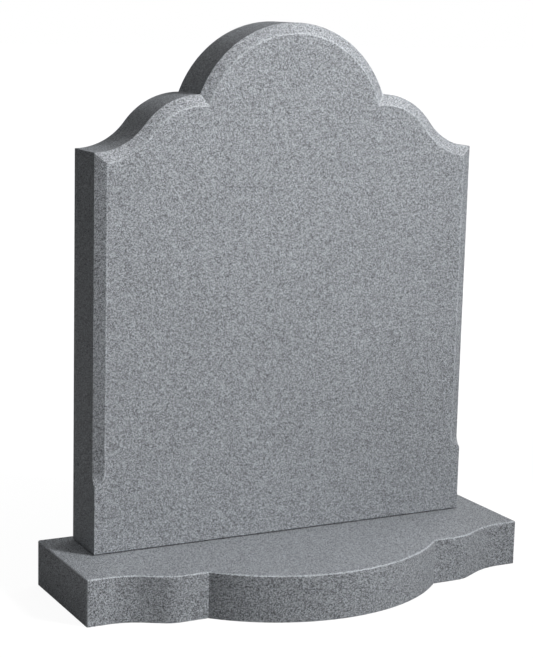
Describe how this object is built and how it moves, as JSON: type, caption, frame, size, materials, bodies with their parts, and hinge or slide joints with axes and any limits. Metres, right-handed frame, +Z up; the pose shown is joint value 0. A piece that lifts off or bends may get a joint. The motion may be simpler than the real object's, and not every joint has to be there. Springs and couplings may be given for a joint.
{
  "type": "headstone",
  "caption": "Upright granite grave marker: a chamfered tablet with a round dome between swept shoulders, standing on a low base with a bowed, cusped front.",
  "frame": {"origin": "middle of the footprint's bounding box, on the underside of the base", "axes": "+Z up, the tablet's chamfered face and the base's bowed front towards -Y, +X to the right of someone who faces the stone"},
  "size_m": [0.762, 0.327, 0.8818],
  "materials": {
    "granite": "fine grained grey granite, honed"
  },
  "bodies": {
    "root": {"headstone": "granite", "base": "granite"}
  },
  "joints": []
}
